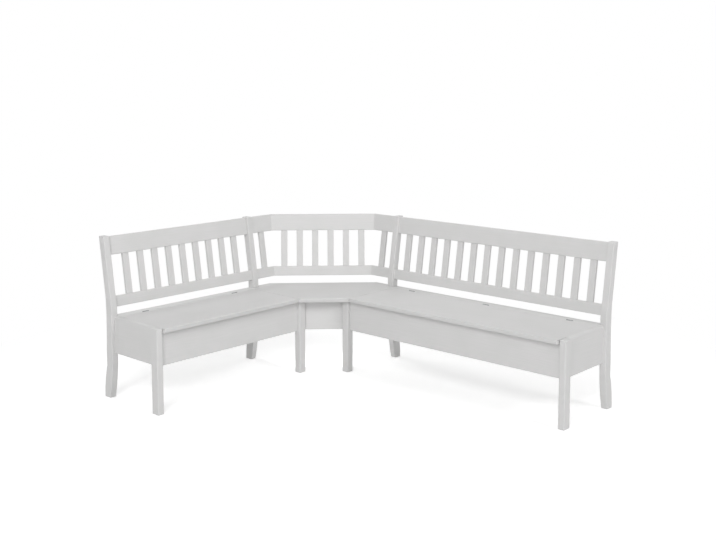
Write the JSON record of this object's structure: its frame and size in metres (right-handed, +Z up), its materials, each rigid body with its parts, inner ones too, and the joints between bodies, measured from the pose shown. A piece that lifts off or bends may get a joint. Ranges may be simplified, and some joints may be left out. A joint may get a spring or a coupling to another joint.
{
  "type": "corner storage bench",
  "caption": "L-shaped white painted wooden corner bench with slatted backs, a faceted corner seat and hinged lids over storage chests.",
  "frame": {"origin": "on the floor, below the middle of the bench's box", "axes": "+X along the long bench away from the corner, -Y along the short bench away from the corner, +Z up"},
  "size_m": [2.1882, 1.7422, 0.896],
  "materials": {
    "white_paint": "satin white paint on smooth pine",
    "hinge_steel": "zinc-plated steel"
  },
  "bodies": {
    "bench_frame": {"long_outer_front_leg": "white_paint", "long_inner_front_leg": "white_paint", "long_outer_rear_post": "white_paint", "long_inner_rear_post": "white_paint", "long_rear_panel": "white_paint", "long_front_panel": "white_paint", "long_inner_end_panel": "white_paint", "long_outer_end_panel": "white_paint", "long_chest_bottom": "white_paint", "long_rear_seat_strip": "white_paint", "long_lower_rail": "white_paint", "long_top_rail": "white_paint", "long_hinge_1_fixed_leaf": "hinge_steel", "long_hinge_2_fixed_leaf": "hinge_steel", "long_hinge_3_fixed_leaf": "hinge_steel", "short_outer_front_leg": "white_paint", "short_inner_front_leg": "white_paint", "short_outer_rear_post": "white_paint", "short_inner_rear_post": "white_paint", "short_rear_panel": "white_paint", "short_front_panel": "white_paint", "short_inner_end_panel": "white_paint", "short_outer_end_panel": "white_paint", "short_chest_bottom": "white_paint", "short_rear_seat_strip": "white_paint", "short_lower_rail": "white_paint", "short_top_rail": "white_paint", "short_slat_1": "white_paint", "short_slat_2": "white_paint", "short_slat_3": "white_paint", "short_slat_4": "white_paint", "short_slat_5": "white_paint", "short_slat_6": "white_paint", "short_slat_7": "white_paint", "short_slat_8": "white_paint", "short_slat_9": "white_paint", "short_hinge_1_fixed_leaf": "hinge_steel", "short_hinge_2_fixed_leaf": "hinge_steel", "corner_seat": "white_paint", "corner_apron": "white_paint", "corner_rear_bearer": "white_paint", "corner_lower_rail": "white_paint", "corner_top_rail": "white_paint", "corner_short_wing_slat_1": "white_paint", "corner_slat_1": "white_paint", "corner_slat_2": "white_paint", "corner_slat_3": "white_paint", "corner_slat_4": "white_paint", "corner_slat_5": "white_paint", "corner_slat_6": "white_paint", "corner_long_wing_slat_1": "white_paint"},
    "long_lid_assembly": {"long_lid": "white_paint", "long_hinge_1_lid_leaf": "hinge_steel", "long_hinge_2_lid_leaf": "hinge_steel", "long_hinge_3_lid_leaf": "hinge_steel"},
    "short_lid_assembly": {"short_lid": "white_paint", "short_hinge_1_lid_leaf": "hinge_steel", "short_hinge_2_lid_leaf": "hinge_steel"}
  },
  "joints": [
    {"name": "long_lid_hinge", "type": "hinge", "parent": "bench_frame", "child": "long_lid_assembly", "pos_m": [0.34913, 0.74627, 0.46], "axis": [-1, 0, 0], "range_deg": [0, 102]},
    {"name": "short_lid_hinge", "type": "hinge", "parent": "bench_frame", "child": "short_lid_assembly", "pos_m": [-0.96927, -0.34913, 0.46], "axis": [0, -1, 0], "range_deg": [0, 102]}
  ]
}
